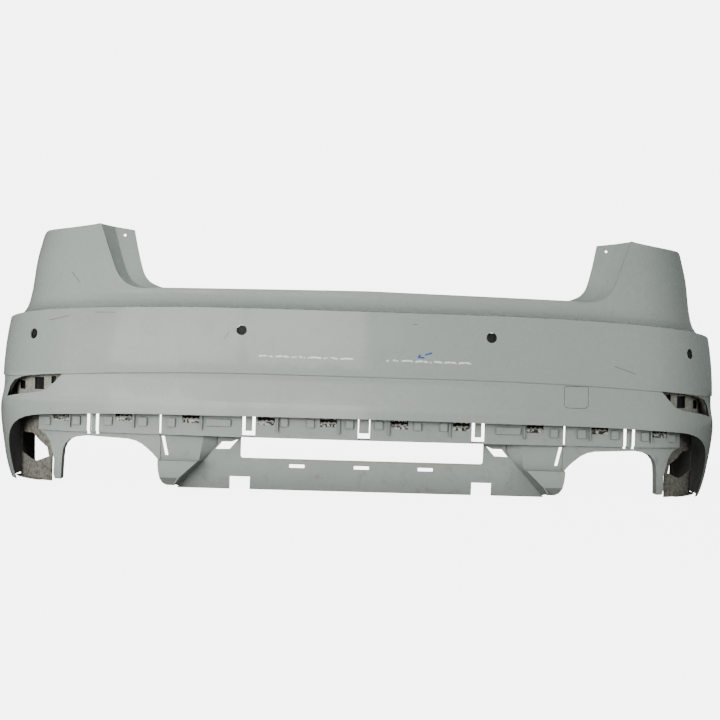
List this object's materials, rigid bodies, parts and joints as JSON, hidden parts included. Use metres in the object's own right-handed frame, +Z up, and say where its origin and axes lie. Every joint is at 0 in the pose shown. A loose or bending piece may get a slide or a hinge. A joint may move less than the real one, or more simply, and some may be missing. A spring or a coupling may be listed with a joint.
{
  "type": "rear bumper cover",
  "caption": "Painted rear bumper cover of a compact saloon with its trim carrier, corner shields, sensor holders and a hinged towing-eye cap.",
  "frame": {"origin": "centre of the bounding box at the floor", "axes": "X across the car, -Y out of the painted face, +Z up"},
  "size_m": [1.8011, 0.6759, 0.623],
  "materials": {
    "paint": "gloss clear coat over pale grey-white paint on moulded plastic",
    "overspray": "moulded plastic with thin matte overspray",
    "shield": "dirty natural plastic",
    "black_plastic": "fine grained",
    "spring_steel": "dull zinc plated",
    "housing": "dusty overspray"
  },
  "bodies": {
    "cover": {"arch_nuts_left": "spring_steel", "arch_nuts_right": "spring_steel", "arch_rail_left": "black_plastic", "arch_rail_right": "black_plastic", "corner_carrier_left": "overspray", "corner_carrier_right": "overspray", "corner_shield_left": "shield", "corner_shield_right": "shield", "cover_skin": "paint", "diffuser_carrier": "overspray", "ear_bracket_left": "black_plastic", "ear_bracket_right": "black_plastic", "reflector_housing_left": "housing", "reflector_housing_right": "housing", "sensor_holder_inner_left": "black_plastic", "sensor_holder_inner_right": "black_plastic", "sensor_holder_outer_left": "black_plastic", "sensor_holder_outer_right": "black_plastic", "tow_cap_socket": "black_plastic", "trim_clips": "spring_steel"},
    "tow_cap": {"tow_cap": "paint"}
  },
  "joints": [
    {"name": "tow_cap_hinge", "type": "hinge", "parent": "cover", "child": "tow_cap", "pos_m": [0.499, -0.30808, 0.217], "axis": [0.995, 0.0995, 0], "range_deg": [0, 75]}
  ]
}
